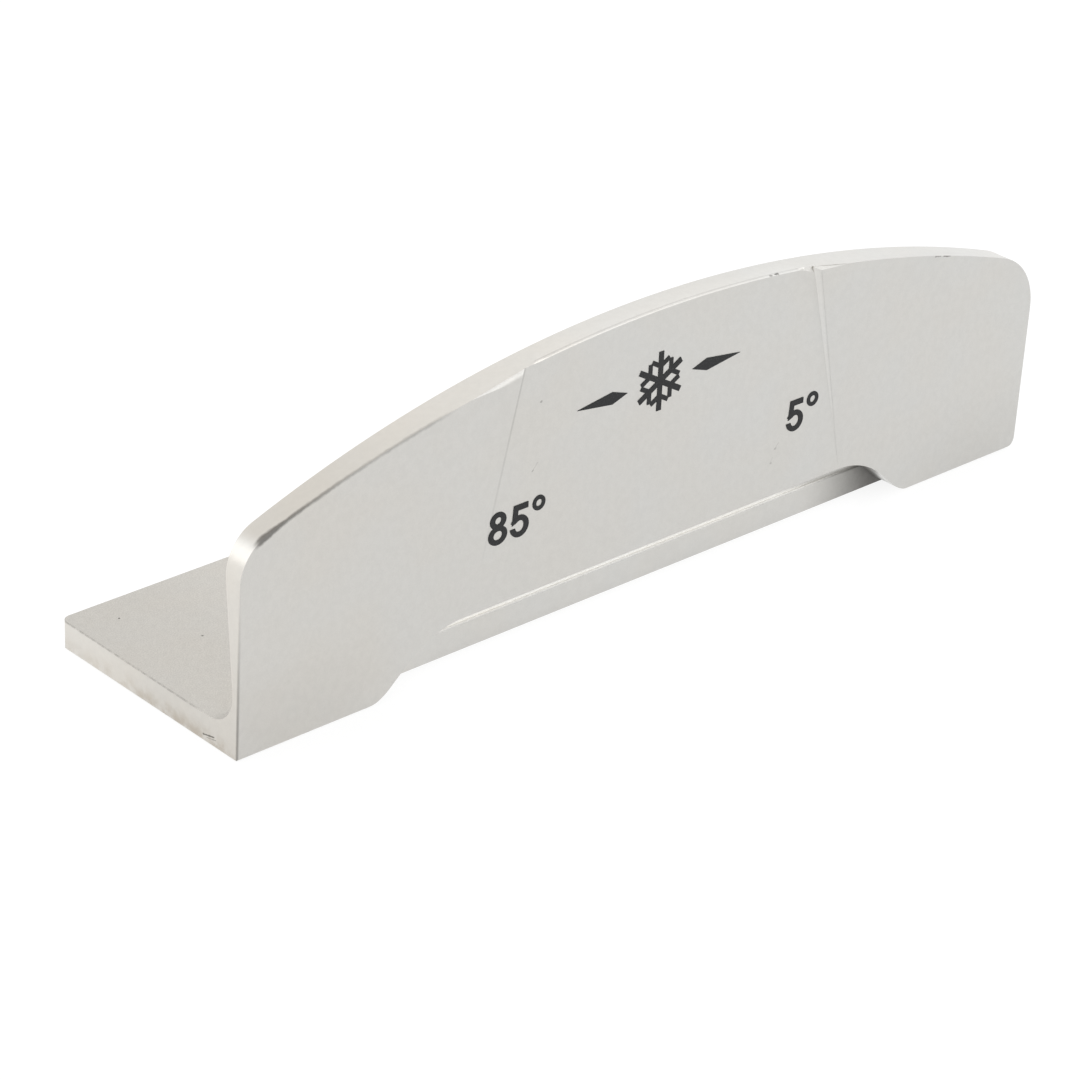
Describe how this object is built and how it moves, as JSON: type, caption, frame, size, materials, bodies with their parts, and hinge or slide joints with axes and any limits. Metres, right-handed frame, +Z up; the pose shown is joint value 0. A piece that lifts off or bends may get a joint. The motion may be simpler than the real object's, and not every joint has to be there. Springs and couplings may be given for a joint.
{
  "type": "side edge file guide",
  "caption": "Steel L-section side-edge file guide for skis and snowboards: flat base leg, arched upright leg at a fixed angle, corner notch for filings.",
  "frame": {"origin": "bottom centre of the guide's box, on its flat underside", "axes": "+X along the guide; +Y from the marked front face towards the free back edge of the base leg; +Z up, out of the underside towards the arched top edge"},
  "size_m": [0.12, 0.0318, 0.0358],
  "materials": {
    "steel": "bead-blasted satin, with fine pits and broken edges",
    "ink": "pad-printed dark slate ink film, matt"
  },
  "bodies": {
    "root": {"angle_guide": "steel", "ink_digit_8": "ink", "ink_digit_5_left": "ink", "ink_degree_left": "ink", "ink_digit_5_right": "ink", "ink_degree_right": "ink", "ink_snow_crystal": "ink", "ink_pointed_bar_left": "ink", "ink_pointed_bar_right": "ink"}
  },
  "joints": []
}
